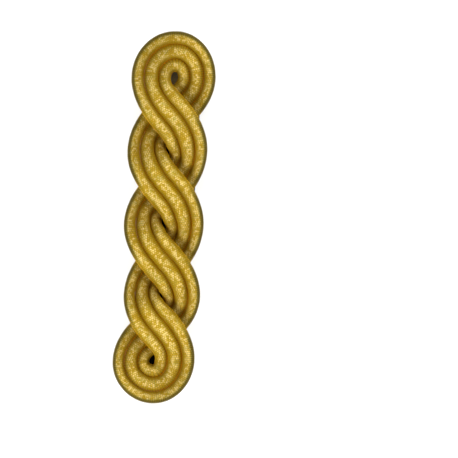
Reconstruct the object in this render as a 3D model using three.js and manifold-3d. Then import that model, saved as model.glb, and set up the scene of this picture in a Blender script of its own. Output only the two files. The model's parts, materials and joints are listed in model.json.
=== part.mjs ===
import * as THREE from 'three';
import { ParametricGeometry } from 'three/addons/geometries/ParametricGeometry.js';
import { mergeVertices } from 'three/addons/utils/BufferGeometryUtils.js';
import Module from 'manifold-3d';

// A twisted shoulder cord: three gold cords side by side make one flat strand.
// The strand runs round an endless loop that is crossed four times.
// It is sewn on a leather backing with a buttoning strap and a keeper.
// Millimetres, +Z up. It lies on its leather with the cords upwards, and +Y points to the eyelet end.

// The cords. Spread is how much wider than in a lobe a cord is pressed, and its height shrinks to match.

const knotLength = 140;
const sideCordWidth = 4.42;
const middleCordWidth = 4.92;
const cordHeight = 4.8;
const cordGap = 0.4;
const lobeGap = 0.35;
const overGap = 0.85;
const cordSeatGap = 0.36;
const crossingSpread = 1.11;
const cordSides = 12;
const stepsPerStretch = 5;

// Where the strand turns between two crossings, its inside cord leans, narrows and moves inwards.

const insideLean = 20;
const middleLean = 5;
const insideSqueeze = 0.95;
const insideShift = 0.22;

// The leather

const strapWidth = 18.2;
const strapThickness = 1.6;
const strapEndRise = 3.2;
const strapTopInset = 4.2;
const strapBottomInset = 7.2;
const backingWidth = 20;
const backingThickness = 1.6;
const backingCornerRadius = 3;
const keeperLength = 11.4;
const keeperThickness = 1;
const keeperCornerRadius = 0.9;
const keeperPlace = 1.2;
const layerGap = 0.25;
const keeperSideGap = 0.25;
const leatherShift = 0.8;
const bendSteps = 6;

// How far the strap hangs away from the backing, and where

const eyeletSag = 0.5;
const foldSag = 1.2;
const eyeletFlatMargin = 10.2;
const keeperFlatMargin = 4;
const foldFlatLength = 12;
const foldReach = 4;
const foldHeight = 2.25;
const foldGap = 0.35;

// The eyelet

const eyeletInset = 13.6;
const eyeletBore = 5.9;
const eyeletFlange = 9.9;
const eyeletBarrelWall = 0.6;
const eyeletFlangeHeight = 0.6;
const eyeletWasherHeight = 0.35;
const eyeletWasherWidth = 0.9;
const eyeletGap = 0.15;
const eyeletSides = 32;
const backingHole = 7.2;

const gold = new THREE.MeshStandardMaterial({ color: 0xb8933d, roughness: 0.45, metalness: 0.55 });
const blackLeather = new THREE.MeshStandardMaterial({ color: 0x1a211d, roughness: 0.5, metalness: 0 });
const wornLeather = new THREE.MeshStandardMaterial({ color: 0x39433d, roughness: 0.6, metalness: 0 });
const brass = new THREE.MeshStandardMaterial({ color: 0xd6c795, roughness: 0.3, metalness: 1 });

// Sizes that follow from those above

const cordPitch = (sideCordWidth + middleCordWidth) / 2 + cordGap;
const strandReach = cordPitch + sideCordWidth / 2;
const lobeReach = strandReach + lobeGap / 2;
const crossingHeight = cordHeight / crossingSpread;

const keeperFloor = keeperThickness + layerGap;
const strapTop = keeperFloor + strapThickness;
const backingFloor = strapTop + layerGap;
const backingTop = backingFloor + backingThickness;
const cordFloor = backingTop + cordSeatGap;
const levelStep = crossingHeight + overGap;

const endReach = knotLength / 2 - strandReach;
const strapTopPlace = knotLength / 2 - strapTopInset;
const strapBottomPlace = -knotLength / 2 + strapBottomInset;
const eyeletPlace = strapTopPlace - eyeletInset;
const eyeletFlatEnd = eyeletPlace - eyeletFlatMargin;

// The middle cord's route, a row for each place where the strand turns or crosses itself.
// side: distance from the middle line, as a share of lobeReach.
// along: place along the knot, as a share of endReach.
// heading: degrees from +X. level: 0 under the other strand, 1 over it.
// rise: levels gained there over one handle of the curve.
// spread: how much the cords are pressed wider than in a lobe.
// inside: the lane on the inside of a turn between two crossings.

const strandRoute = [
  { side: 0.1, along: 0.992, heading: 180, level: 0.25, rise: 0.12, spread: 1.05, inside: 0 },
  { side: -1.09, along: 0.835, heading: 270, level: 0.6, rise: 0.3, spread: 1.01, inside: 0 },
  { side: -0.04, along: 0.617, heading: 314, level: 1, rise: 0, spread: crossingSpread, inside: 0 },
  { side: 1.0, along: 0.402, heading: 270, level: 0.5, rise: -0.65, spread: 0.98, inside: 1 },
  { side: 0.0, along: 0.176, heading: 226, level: 0, rise: 0, spread: crossingSpread, inside: 0 },
  { side: -1.06, along: -0.048, heading: 270, level: 0.5, rise: 0.65, spread: 0.97, inside: -1 },
  { side: 0.07, along: -0.263, heading: 314, level: 1, rise: 0, spread: crossingSpread, inside: 0 },
  { side: 1.1, along: -0.467, heading: 270, level: 0.5, rise: -0.65, spread: 0.96, inside: 1 },
  { side: 0.04, along: -0.652, heading: 222, level: 0, rise: 0, spread: crossingSpread, inside: 0 },
  { side: -1.24, along: -0.868, heading: 270, level: 0.03, rise: 0.05, spread: 0.94, inside: 0 },
  { side: -0.1, along: -0.998, heading: 360, level: 0.25, rise: 0.12, spread: 1.0, inside: 0 },
  { side: 0.96, along: -0.846, heading: 450, level: 0.6, rise: 0.3, spread: 1.02, inside: 0 },
  { side: 0.04, along: -0.652, heading: 494, level: 1, rise: 0, spread: crossingSpread, inside: 0 },
  { side: -0.9, along: -0.472, heading: 450, level: 0.5, rise: -0.65, spread: 0.92, inside: 1 },
  { side: 0.07, along: -0.263, heading: 406, level: 0, rise: 0, spread: crossingSpread, inside: 0 },
  { side: 1.05, along: -0.04, heading: 450, level: 0.5, rise: 0.65, spread: 0.97, inside: -1 },
  { side: 0.0, along: 0.176, heading: 494, level: 1, rise: 0, spread: crossingSpread, inside: 0 },
  { side: -1.08, along: 0.39, heading: 450, level: 0.5, rise: -0.65, spread: 1.0, inside: 1 },
  { side: -0.04, along: 0.617, heading: 403, level: 0, rise: 0, spread: crossingSpread, inside: 0 },
  { side: 1.2, along: 0.84, heading: 450, level: 0.03, rise: 0.05, spread: 0.97, inside: 0 },
];

// lane: how many pitches a cord lies to the right-hand side of the strand's travel.

const cordTable = [
  { name: 'outer_cord', lane: 1, width: sideCordWidth },
  { name: 'middle_cord', lane: 0, width: middleCordWidth },
  { name: 'inner_cord', lane: -1, width: sideCordWidth },
];

// How far a cord leans from the strand's heading where it turns between two crossings.
function leanOf(row, lane) {
  if (row.inside === 0 || lane === -row.inside) return 0;
  return lane === 0 ? middleLean : insideLean;
}

function stationOf(row, lane) {
  const inner = row.inside !== 0 && lane === row.inside;
  const strandAngle = THREE.MathUtils.degToRad(row.heading);
  const heading = row.heading + leanOf(row, lane);
  const cordAngle = THREE.MathUtils.degToRad(heading);
  const shift = lane * (cordPitch * row.spread + (inner ? insideShift : 0));
  return {
    place: new THREE.Vector3(
      row.side * lobeReach + Math.sin(strandAngle) * shift,
      row.along * endReach - Math.cos(strandAngle) * shift,
      cordFloor + cordHeight / row.spread / 2 + row.level * levelStep,
    ),
    travel: new THREE.Vector3(Math.cos(cordAngle), Math.sin(cordAngle), 0),
    heading,
    spread: inner ? row.spread * insideSqueeze : row.spread,
    rise: row.rise * levelStep,
  };
}

// One stretch of a cord between two stations, as round as its turn asks.
function stretchBetween(from, to) {
  const chord = Math.hypot(to.place.x - from.place.x, to.place.y - from.place.y);
  const difference = THREE.MathUtils.euclideanModulo(to.heading - from.heading + 180, 360) - 180;
  const turn = Math.abs(THREE.MathUtils.degToRad(difference));
  const handle = chord * (2 / 3) * Math.tan(turn / 4) / Math.sin(turn / 2);
  const leaving = from.place.clone().addScaledVector(from.travel, handle);
  const arriving = to.place.clone().addScaledVector(to.travel, -handle);
  leaving.z += from.rise;
  arriving.z -= to.rise;
  return new THREE.CubicBezierCurve3(from.place, leaving, arriving, to.place);
}

// A cord is an oval swept round its closed route, level across the strand.
function cordGeometry(cord) {
  const stations = strandRoute.map((row) => stationOf(row, cord.lane));
  const nextOf = (index) => stations[(index + 1) % stations.length];
  const stretches = stations.map((station, index) => stretchBetween(station, nextOf(index)));
  const across = new THREE.Vector3();
  const upward = new THREE.Vector3();

  const surface = (around, along, target) => {
    const walked = (along % 1) * stretches.length;
    const index = Math.floor(walked);
    const share = walked - index;
    const travel = stretches[index].getTangent(share);
    const spread = THREE.MathUtils.lerp(
      stations[index].spread,
      nextOf(index).spread,
      THREE.MathUtils.smoothstep(share, 0, 1),
    );
    const angle = (around % 1) * Math.PI * 2;
    across.set(-travel.y, travel.x, 0).normalize();
    upward.crossVectors(travel, across);
    target.copy(stretches[index].getPoint(share));
    target.addScaledVector(across, Math.cos(angle) * cord.width * spread / 2);
    target.addScaledVector(upward, Math.sin(angle) * cordHeight / spread / 2);
  };
  return closedGeometry(new ParametricGeometry(surface, cordSides, stretches.length * stepsPerStretch));
}

// Solids and cuts

function closedGeometry(geometry) {
  geometry.deleteAttribute('normal');
  geometry.deleteAttribute('uv');
  return mergeVertices(geometry);
}

const manifold = await Module();
manifold.setup();

function solidOf(geometry) {
  const merged = closedGeometry(geometry);
  return new manifold.Manifold(new manifold.Mesh({
    numProp: 3,
    vertProperties: new Float32Array(merged.attributes.position.array),
    triVerts: new Uint32Array(merged.index.array),
  }));
}

function geometryOf(solid) {
  const mesh = solid.getMesh();
  const geometry = new THREE.BufferGeometry();
  geometry.setAttribute('position', new THREE.BufferAttribute(mesh.vertProperties, 3));
  geometry.setIndex(new THREE.BufferAttribute(mesh.triVerts, 1));
  return geometry;
}

function standingCylinder(diameter, bottom, top) {
  const geometry = new THREE.CylinderGeometry(diameter / 2, diameter / 2, top - bottom, eyeletSides);
  geometry.rotateX(Math.PI / 2);
  geometry.translate(leatherShift, eyeletPlace, (bottom + top) / 2);
  return geometry;
}

// The plan of a leather piece: straight sides and a shallow arc at the eyelet end.
function leatherPlan(width, top, bottom, cornerRadius) {
  const half = width / 2;
  const shoulder = top - strapEndRise;
  const archRadius = (half * half + strapEndRise * strapEndRise) / (2 * strapEndRise);
  const archAngle = Math.asin(half / archRadius);
  const plan = new THREE.Shape();
  plan.moveTo(-half, shoulder);
  plan.lineTo(-half, bottom + cornerRadius);
  plan.absarc(-half + cornerRadius, bottom + cornerRadius, cornerRadius, Math.PI, Math.PI * 1.5);
  plan.lineTo(half - cornerRadius, bottom);
  plan.absarc(half - cornerRadius, bottom + cornerRadius, cornerRadius, Math.PI * 1.5, Math.PI * 2);
  plan.lineTo(half, shoulder);
  plan.absarc(0, top - archRadius, archRadius, Math.PI / 2 - archAngle, Math.PI / 2 + archAngle);
  return plan;
}

function planBlock(plan, bottom, top) {
  const options = { depth: top - bottom, bevelEnabled: false, curveSegments: bendSteps };
  const geometry = new THREE.ExtrudeGeometry(plan, options);
  geometry.translate(leatherShift, 0, bottom);
  return geometry;
}

// The strap's side view: flat at the eyelet and the keeper, slack between, folded up at the end.
function strapSide() {
  const seat = keeperFloor + strapThickness / 2;
  const eyeletLine = seat - eyeletSag;
  const foldLine = seat - foldSag;
  const keeperTop = keeperPlace + keeperLength / 2 + keeperFlatMargin;
  const keeperBottom = keeperPlace - keeperLength / 2 - keeperFlatMargin;
  const foldEnd = strapBottomPlace + strapThickness / 2;
  const foldStart = foldEnd + foldReach;
  const slackStart = foldStart + foldFlatLength;
  const roundness = 0.55;
  const easing = 0.5;
  const line = new THREE.Path();
  line.moveTo(strapTopPlace, eyeletLine);
  line.lineTo(eyeletFlatEnd, eyeletLine);
  const upperRun = (eyeletFlatEnd - keeperTop) * easing;
  line.bezierCurveTo(eyeletFlatEnd - upperRun, eyeletLine, keeperTop + upperRun, seat, keeperTop, seat);
  line.lineTo(keeperBottom, seat);
  const lowerRun = (keeperBottom - foldStart) * easing;
  line.bezierCurveTo(keeperBottom - lowerRun, seat, slackStart, foldLine, foldStart, foldLine);
  line.bezierCurveTo(
    foldStart - foldReach * roundness, foldLine,
    foldEnd, foldLine + foldHeight * (1 - roundness),
    foldEnd, foldLine + foldHeight,
  );
  line.lineTo(foldEnd, backingTop);
  return line;
}

// A band of even thickness along a line.
function bandAlong(line, thickness) {
  const points = line.getPoints(bendSteps * 2);
  const lower = [];
  const upper = [];
  points.forEach((point, index) => {
    const before = points[Math.max(index - 1, 0)];
    const after = points[Math.min(index + 1, points.length - 1)];
    const normal = after.clone().sub(before).normalize();
    normal.set(normal.y, -normal.x).multiplyScalar(thickness / 2);
    lower.push(point.clone().sub(normal));
    upper.unshift(point.clone().add(normal));
  });
  return new THREE.Shape([...lower, ...upper]);
}

function strapGeometry() {
  const band = bandAlong(strapSide(), strapThickness);
  const geometry = new THREE.ExtrudeGeometry(band, { depth: strapWidth, bevelEnabled: false });
  // the side view is drawn with Y across and Z up, so X, Y and Z change places
  const axes = new THREE.Matrix4().makeBasis(
    new THREE.Vector3(0, 1, 0),
    new THREE.Vector3(0, 0, 1),
    new THREE.Vector3(1, 0, 0),
  );
  geometry.applyMatrix4(axes);
  geometry.translate(leatherShift - strapWidth / 2, 0, 0);
  const spare = 1;
  const plan = leatherPlan(strapWidth, strapTopPlace, strapBottomPlace - spare, spare);
  const outline = planBlock(plan, -spare, backingTop + spare);
  const holeDiameter = eyeletBore + 2 * eyeletBarrelWall + 2 * eyeletGap;
  const hole = standingCylinder(holeDiameter, -spare, backingFloor);
  return geometryOf(solidOf(geometry).intersect(solidOf(outline)).subtract(solidOf(hole)));
}

function backingGeometry() {
  const spare = 1;
  const bottom = strapBottomPlace + strapThickness + foldGap;
  const plan = leatherPlan(backingWidth, strapTopPlace, bottom, backingCornerRadius);
  const sheet = planBlock(plan, backingFloor, backingTop);
  const hole = standingCylinder(backingHole, backingFloor - spare, backingTop + spare);
  return geometryOf(solidOf(sheet).subtract(solidOf(hole)));
}

// The keeper is a band across the strap, turned up along both edges of the backing.
function keeperGeometry() {
  const inner = backingWidth / 2 + keeperSideGap;
  const outer = inner + keeperThickness;
  const radius = keeperCornerRadius;
  const section = new THREE.Shape();
  section.moveTo(-outer, backingTop);
  section.lineTo(-outer, radius);
  section.absarc(-outer + radius, radius, radius, Math.PI, Math.PI * 1.5);
  section.lineTo(outer - radius, 0);
  section.absarc(outer - radius, radius, radius, Math.PI * 1.5, Math.PI * 2);
  section.lineTo(outer, backingTop);
  section.lineTo(inner, backingTop);
  section.lineTo(inner, keeperThickness);
  section.lineTo(-inner, keeperThickness);
  section.lineTo(-inner, backingTop);
  const options = { depth: keeperLength, bevelEnabled: false, curveSegments: bendSteps };
  const geometry = new THREE.ExtrudeGeometry(section, options);
  geometry.rotateX(Math.PI / 2);
  geometry.translate(leatherShift, keeperPlace + keeperLength / 2, 0);
  return closedGeometry(geometry);
}

// The eyelet: a barrel with a domed flange outside and a rolled washer inside.
function eyeletGeometry() {
  const bore = eyeletBore / 2;
  const barrel = bore + eyeletBarrelWall;
  const flange = eyeletFlange / 2;
  const washer = barrel + eyeletWasherWidth;
  const strapFace = keeperFloor - eyeletSag;
  const flangeTop = strapFace - eyeletGap;
  const flangeBottom = flangeTop - eyeletFlangeHeight;
  const washerBottom = strapFace + strapThickness + eyeletGap;
  const washerTop = washerBottom + eyeletWasherHeight;
  const rimShare = 0.4;
  const rim = (flange - bore) * rimShare;
  const profile = [
    [bore, flangeBottom + eyeletFlangeHeight / 2],
    [bore + rim / 2, flangeBottom],
    [flange - rim, flangeBottom],
    [flange, flangeBottom + eyeletFlangeHeight / 2],
    [flange, flangeTop],
    [barrel, flangeTop],
    [barrel, washerBottom],
    [washer, washerBottom],
    [washer, washerTop],
    [bore, washerTop],
    [bore, flangeBottom + eyeletFlangeHeight / 2],
  ];
  const points = profile.map(([radius, height]) => new THREE.Vector2(radius, height));
  const geometry = new THREE.LatheGeometry(points, eyeletSides);
  geometry.rotateX(Math.PI / 2);
  geometry.translate(leatherShift, eyeletPlace, 0);
  return closedGeometry(geometry);
}

function namedMesh(name, geometry, material) {
  const mesh = new THREE.Mesh(geometry, material);
  mesh.name = name;
  return mesh;
}

const group = new THREE.Group();
for (const cord of cordTable) {
  group.add(namedMesh(cord.name, cordGeometry(cord), gold));
}
group.add(namedMesh('leather_backing', backingGeometry(), blackLeather));
group.add(namedMesh('leather_strap', strapGeometry(), blackLeather));
group.add(namedMesh('strap_keeper', keeperGeometry(), wornLeather));
group.add(namedMesh('strap_eyelet', eyeletGeometry(), brass));

export default group;
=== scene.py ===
import json
import math

import bmesh
import bpy
import numpy as np
from mathutils import Matrix, Vector, noise

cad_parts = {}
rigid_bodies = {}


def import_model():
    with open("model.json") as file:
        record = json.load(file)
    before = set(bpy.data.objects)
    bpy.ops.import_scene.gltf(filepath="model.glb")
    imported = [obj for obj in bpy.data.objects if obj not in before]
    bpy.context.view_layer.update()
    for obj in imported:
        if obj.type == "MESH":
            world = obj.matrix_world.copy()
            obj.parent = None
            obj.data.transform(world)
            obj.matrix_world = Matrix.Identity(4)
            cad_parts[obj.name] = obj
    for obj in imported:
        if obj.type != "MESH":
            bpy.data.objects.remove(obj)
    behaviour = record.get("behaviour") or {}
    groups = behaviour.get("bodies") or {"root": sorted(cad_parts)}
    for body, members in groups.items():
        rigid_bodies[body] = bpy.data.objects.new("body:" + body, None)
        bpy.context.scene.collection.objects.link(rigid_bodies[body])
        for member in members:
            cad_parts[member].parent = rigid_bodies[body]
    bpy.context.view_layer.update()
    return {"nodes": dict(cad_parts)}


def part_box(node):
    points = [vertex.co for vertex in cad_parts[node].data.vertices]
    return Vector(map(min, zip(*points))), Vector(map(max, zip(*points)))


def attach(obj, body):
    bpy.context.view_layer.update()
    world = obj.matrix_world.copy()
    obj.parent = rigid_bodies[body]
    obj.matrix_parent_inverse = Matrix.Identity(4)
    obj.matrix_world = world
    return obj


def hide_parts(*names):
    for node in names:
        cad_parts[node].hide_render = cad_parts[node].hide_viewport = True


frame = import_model()
millimetre = 0.001
print("frame loaded with", len(frame["nodes"]), "nodes")

# The camera looks straight down, as the photograph does, with the knot to the left of the middle.

photoView = {
    "pixels": 458,
    "millimetresPerPixel": 0.3738,
    "knotPixel": (164.2, 217.2),  # the middle of the knot in the photograph
    "turn": 3.5,  # degrees that the knot leans clockwise
    "distance": 3.0,
    "sensor": 36.0,
    "clipEnd": 20.0,
}


def placed(name, data):
    made = bpy.data.objects.new(name, data)
    bpy.context.scene.collection.objects.link(made)
    return made


def makeCamera(view):
    turn = math.radians(view["turn"])
    rightward = Vector((math.cos(turn), math.sin(turn), 0))
    upward = Vector((-math.sin(turn), math.cos(turn), 0))
    scale = view["millimetresPerPixel"] * millimetre
    middle = view["pixels"] / 2
    aim = rightward * (middle - view["knotPixel"][0]) * scale
    aim += upward * (view["knotPixel"][1] - middle) * scale
    data = bpy.data.cameras.new("photoCamera")
    data.type = "PERSP"
    data.sensor_width = view["sensor"]
    data.lens = view["sensor"] * view["distance"] / (view["pixels"] * scale)
    data.clip_end = view["clipEnd"]
    camera = placed("photoCamera", data)
    camera.location = aim + Vector((0, 0, view["distance"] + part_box("middle_cord")[1].z))
    camera.rotation_euler = (0, 0, turn)
    bpy.context.scene.camera = camera


makeCamera(photoView)
print("camera placed")


# Helpers for the material nodes

def newMaterial(name):
    material = bpy.data.materials.new(name)
    material.use_nodes = True
    return material, material.node_tree, material.node_tree.nodes["Principled BSDF"]


def feed(tree, socket, value):
    if isinstance(value, bpy.types.NodeSocket):
        tree.links.new(value, socket)
    else:
        socket.default_value = value


def feedShader(tree, shader, values):
    for name, value in values.items():
        feed(tree, shader.inputs[name], value)


def maths(tree, operation, first, second=0.0):
    node = tree.nodes.new("ShaderNodeMath")
    node.operation = operation
    feed(tree, node.inputs[0], first)
    feed(tree, node.inputs[1], second)
    return node.outputs[0]


def times(tree, first, second):
    return maths(tree, "MULTIPLY", first, second)


def plus(tree, first, second):
    return maths(tree, "ADD", first, second)


def minus(tree, first, second):
    return maths(tree, "SUBTRACT", first, second)


# Adds patterns up, each with its weight.
def weighed(tree, *parts):
    total = 0.0
    for pattern, weight in parts:
        total = plus(tree, total, times(tree, pattern, weight))
    return total


def ranged(tree, value, low, high, toLow=0.0, toHigh=1.0):
    node = tree.nodes.new("ShaderNodeMapRange")
    node.interpolation_type = "SMOOTHSTEP"
    feed(tree, node.inputs["Value"], value)
    node.inputs["From Min"].default_value = low
    node.inputs["From Max"].default_value = high
    node.inputs["To Min"].default_value = toLow
    node.inputs["To Max"].default_value = toHigh
    return node.outputs["Result"]


def mixed(tree, factor, first, second):
    node = tree.nodes.new("ShaderNodeMix")
    node.data_type = "RGBA"
    feed(tree, node.inputs[0], factor)
    feed(tree, node.inputs[6], first)
    feed(tree, node.inputs[7], second)
    return node.outputs[2]


# Lays a tint over a colour where the mask is 1, at most by the share given.
def tinted(tree, colour, tint, mask, most):
    return mixed(tree, times(tree, mask, most), colour, tint)


def ramp(tree, factor, stops):
    node = tree.nodes.new("ShaderNodeValToRGB")
    elements = node.color_ramp.elements
    while len(elements) < len(stops):
        elements.new(0.5)
    for element, (position, colour) in zip(elements, stops):
        element.position = position
        element.color = colour
    feed(tree, node.inputs["Fac"], factor)
    return node.outputs["Color"]


def noisy(tree, vector, scale, detail=2.0, roughness=0.5):
    node = tree.nodes.new("ShaderNodeTexNoise")
    feed(tree, node.inputs["Vector"], vector)
    node.inputs["Scale"].default_value = scale
    node.inputs["Detail"].default_value = detail
    node.inputs["Roughness"].default_value = roughness
    return node.outputs["Fac"]


def cells(tree, vector, scale):
    node = tree.nodes.new("ShaderNodeTexVoronoi")
    node.feature = "F1"
    feed(tree, node.inputs["Vector"], vector)
    node.inputs["Scale"].default_value = scale
    return node.outputs["Distance"]


# The object's own coordinates in millimetres, stretched where a pattern runs one way.
def objectPlace(tree, stretch=(1, 1, 1)):
    coordinates = tree.nodes.new("ShaderNodeTexCoord")
    mapping = tree.nodes.new("ShaderNodeMapping")
    mapping.inputs["Scale"].default_value = [share / millimetre for share in stretch]
    tree.links.new(coordinates.outputs["Object"], mapping.inputs["Vector"])
    return mapping.outputs["Vector"]


def separated(tree, vector):
    node = tree.nodes.new("ShaderNodeSeparateXYZ")
    tree.links.new(vector, node.inputs[0])
    return node.outputs["X"], node.outputs["Y"], node.outputs["Z"]


def bumped(tree, shader, height, depth):
    node = tree.nodes.new("ShaderNodeBump")
    node.inputs["Distance"].default_value = depth * millimetre
    node.inputs["Strength"].default_value = 1.0
    tree.links.new(height, node.inputs["Height"])
    tree.links.new(node.outputs["Normal"], shader.inputs["Normal"])


# A soft-edged patch: 1 inside the half size round the centre, 0 outside.
def patch(tree, places, centre, halfSize, soft):
    made = 1.0
    for place, middle, half in zip(places, centre, halfSize):
        away = maths(tree, "ABSOLUTE", minus(tree, place, middle))
        made = times(tree, made, ranged(tree, away, half, half + soft, 1.0, 0.0))
    return made


# Gilt thread. The windMap UV counts the wound threads along the cord, and says how far round it a place is.
# The openSide attribute is 1 on the sides of a cord that no other cord lies against, and places the painted
# rim shade there.

giltThreadLook = {
    "deepGold": (0.50, 0.300, 0.020, 1),
    "midGold": (0.68, 0.460, 0.050, 1),
    "paleGold": (0.88, 0.69, 0.23, 1),
    "oliveTarnish": (0.42, 0.34, 0.05, 1),
    # painted shade down the flanks and between the cords, with a lighter painted bounce light where the
    # cords touch
    "grooveShadeBrown": (0.43, 0.260, 0.0, 1),
    "paintedBounceBrown": (0.90, 0.52, 0.0, 1),
    # painted shade on the open outer flanks of the knot
    "rimShadeOlive": (0.095, 0.076, 0.012, 1),
    # painted shade in the valleys between the wound threads
    "valleyShade": (0.02, 0.011, 0.0, 1),
    "edgeTint": (0.75, 0.62, 0.28, 1),
    "twistsRound": 46,
    "beadsRound": 20,
    "cloudScale": 0.30,
    "fleckScale": 2.4,
    "beadContrast": 0.42,
    "plaitContrast": 0.15,
    "fleckContrast": 0.6,
    "cloudContrast": 0.4,
    "toneRange": (0.50, 0.93),
    "tarnishScale": 0.51,
    "tarnishRange": (0.50, 0.72),
    "tarnishMost": 0.5,
    "grooveShadeRange": (0.22, 0.82),  # between the crown, at 0, and the flanks, at 1
    "grooveShadeMost": 0.9,
    "paintedBounceRange": (0.85, 1.0),
    "rimShadeRange": (0.05, 0.74),
    "rimShadeMost": 0.93,
    "valleyShadeRange": (0.2, 1.0),
    "crownToFlanks": (-0.9, 0.3),  # between the crown, at -1, and the underside, at 1
    "valleyShadeOnCrown": 0.32,
    "valleyShadeOnFlanks": 0.65,
    "valleyShadeInRim": 0.5,  # added where the painted rim shade is
    "metal": 0.8,
    "sheen": 0.04,
    "fleckRange": (0.3, 0.7),
    "roughness": (0.40, 0.56),
    "twistHeight": 0.2,
    "beadHeight": 0.5,
    "fleckHeight": 0.8,
    "bumpDepth": 0.15,
}


def giltThread(look):
    material, tree, shader = newMaterial("giltThread")
    windMap = tree.nodes.new("ShaderNodeUVMap")
    windMap.uv_map = "windMap"
    wind, around, _ = separated(tree, windMap.outputs["UV"])
    place = objectPlace(tree)
    roundTurn = times(tree, around, 2 * math.pi)
    windTurn = times(tree, wind, 2 * math.pi)

    # the twist of each thread, and the beads of the plait, which shift sideways from thread to thread
    twist = maths(tree, "SINE", plus(tree, times(tree, roundTurn, look["twistsRound"]), windTurn))
    threadNumber = maths(tree, "FLOOR", wind)
    shifted = times(tree, threadNumber, math.pi)
    beadAngle = plus(tree, times(tree, roundTurn, look["beadsRound"]), shifted)
    bead = maths(tree, "SINE", beadAngle)
    beadNumber = maths(tree, "FLOOR", maths(tree, "DIVIDE", beadAngle, 2 * math.pi))

    # each bead of each thread has its own tone
    beadTone = tree.nodes.new("ShaderNodeTexWhiteNoise")
    beadTone.noise_dimensions = "2D"
    joined = tree.nodes.new("ShaderNodeCombineXYZ")
    tree.links.new(threadNumber, joined.inputs["X"])
    tree.links.new(beadNumber, joined.inputs["Y"])
    tree.links.new(joined.outputs["Vector"], beadTone.inputs["Vector"])
    fleck = noisy(tree, place, look["fleckScale"], detail=3.0, roughness=0.7)
    cloud = noisy(tree, place, look["cloudScale"], detail=3.0, roughness=0.6)
    tone = weighed(
        tree, (beadTone.outputs["Value"], look["beadContrast"]), (bead, look["plaitContrast"]),
        (fleck, look["fleckContrast"]), (cloud, look["cloudContrast"]),
    )
    colour = ramp(tree, ranged(tree, tone, *look["toneRange"]), [
        (0.0, look["deepGold"]),
        (0.5, look["midGold"]),
        (1.0, look["paleGold"]),
    ])
    tarnish = ranged(tree, noisy(tree, place, look["tarnishScale"]), *look["tarnishRange"])
    colour = tinted(tree, colour, look["oliveTarnish"], tarnish, look["tarnishMost"])

    # painted shade: the flanks of the cord are browner, with a lighter painted bounce light where they meet
    # the next cord, and where nothing covers them they are painted dark olive as shade
    off = maths(tree, "ABSOLUTE", maths(tree, "SINE", roundTurn))
    grooveShade = ranged(tree, off, *look["grooveShadeRange"])
    grooveShadeColour = mixed(tree, ranged(tree, off, *look["paintedBounceRange"]), look["grooveShadeBrown"], look["paintedBounceBrown"])
    colour = tinted(tree, colour, grooveShadeColour, grooveShade, look["grooveShadeMost"])
    # the open outer flanks get a painted dark olive shade
    openSide = tree.nodes.new("ShaderNodeAttribute")
    openSide.attribute_name = "openSide"
    rimShade = times(tree, openSide.outputs["Fac"], ranged(tree, off, *look["rimShadeRange"]))
    colour = tinted(tree, colour, look["rimShadeOlive"], rimShade, look["rimShadeMost"])

    # painted shade in the valleys between the threads, faintest on the crown and darkest down the open sides
    threadValleyShade = ranged(tree, maths(tree, "COSINE", windTurn), *look["valleyShadeRange"])
    lower = maths(tree, "COSINE", roundTurn)
    depth = ranged(tree, lower, *look["crownToFlanks"], look["valleyShadeOnCrown"], look["valleyShadeOnFlanks"])
    depth = plus(tree, depth, times(tree, rimShade, look["valleyShadeInRim"]))
    colour = mixed(tree, times(tree, threadValleyShade, depth), colour, look["valleyShade"])

    height = weighed(
        tree, (twist, look["twistHeight"]), (bead, look["beadHeight"]), (fleck, look["fleckHeight"]),
    )
    bumped(tree, shader, height, look["bumpDepth"])
    feedShader(tree, shader, {
        "Base Color": colour,
        "Metallic": look["metal"],
        "Roughness": ranged(tree, fleck, *look["fleckRange"], *look["roughness"]),
        "Specular Tint": look["edgeTint"],
        "Sheen Weight": look["sheen"],
        "Sheen Tint": look["paleGold"],
    })
    return material


# Leather

leatherLook = {
    "deep": (0.0020, 0.0044, 0.0034, 1),
    "mid": (0.0050, 0.0092, 0.0072, 1),
    "rubbed": (0.034, 0.041, 0.035, 1),
    "pale": (0.065, 0.080, 0.070, 1),
    "crack": (0.095, 0.120, 0.105, 1),
    "gloss": 0.06,
    "cloudScale": 0.16,
    "cloudRange": (0.3, 0.7),
    "fineScale": 5.0,
    "fineHeight": 0.35,
    "fineDullness": 0.4,
    "grainScale": 2.4,
    "grainHeight": 0.7,
    "wrinkleStretch": (0.3, 1.5, 1),
    "wrinkleScale": 0.55,
    "wrinkleWidth": 0.035,
    "wrinkleDepth": 0.35,
    "rubRange": (0.85, 1.25),
    "plainRub": 0.2,
    "dullRange": (0.45, 0.95),
    "roughness": (0.36, 0.6),
    "bumpDepth": 0.05,
}


# The grain, wrinkles and clouds that every leather piece has, rubbed pale in patches.
def leatherBase(tree, look, rub):
    place = objectPlace(tree)
    cloud = noisy(tree, place, look["cloudScale"], detail=4.0, roughness=0.6)
    fine = noisy(tree, place, look["fineScale"])
    grain = cells(tree, place, look["grainScale"])
    stretched = objectPlace(tree, look["wrinkleStretch"])
    wrinkled = noisy(tree, stretched, look["wrinkleScale"], detail=3.0, roughness=0.55)
    ridge = maths(tree, "ABSOLUTE", minus(tree, wrinkled, 0.5))
    wrinkle = ranged(tree, ridge, 0.0, look["wrinkleWidth"], 1.0, 0.0)
    darkest, palest = look["cloudRange"]
    colour = ramp(tree, cloud, [(darkest, look["deep"]), (palest, look["mid"])])
    rubbed = ranged(tree, plus(tree, cloud, fine), *look["rubRange"])
    colour = tinted(tree, colour, look["rubbed"], rubbed, rub)
    height = weighed(
        tree, (grain, look["grainHeight"]), (wrinkle, -look["wrinkleDepth"]), (fine, look["fineHeight"]),
    )
    dull = plus(tree, cloud, times(tree, fine, look["fineDullness"]))
    roughness = ranged(tree, dull, *look["dullRange"], *look["roughness"])
    return place, fine, colour, height, roughness


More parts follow.
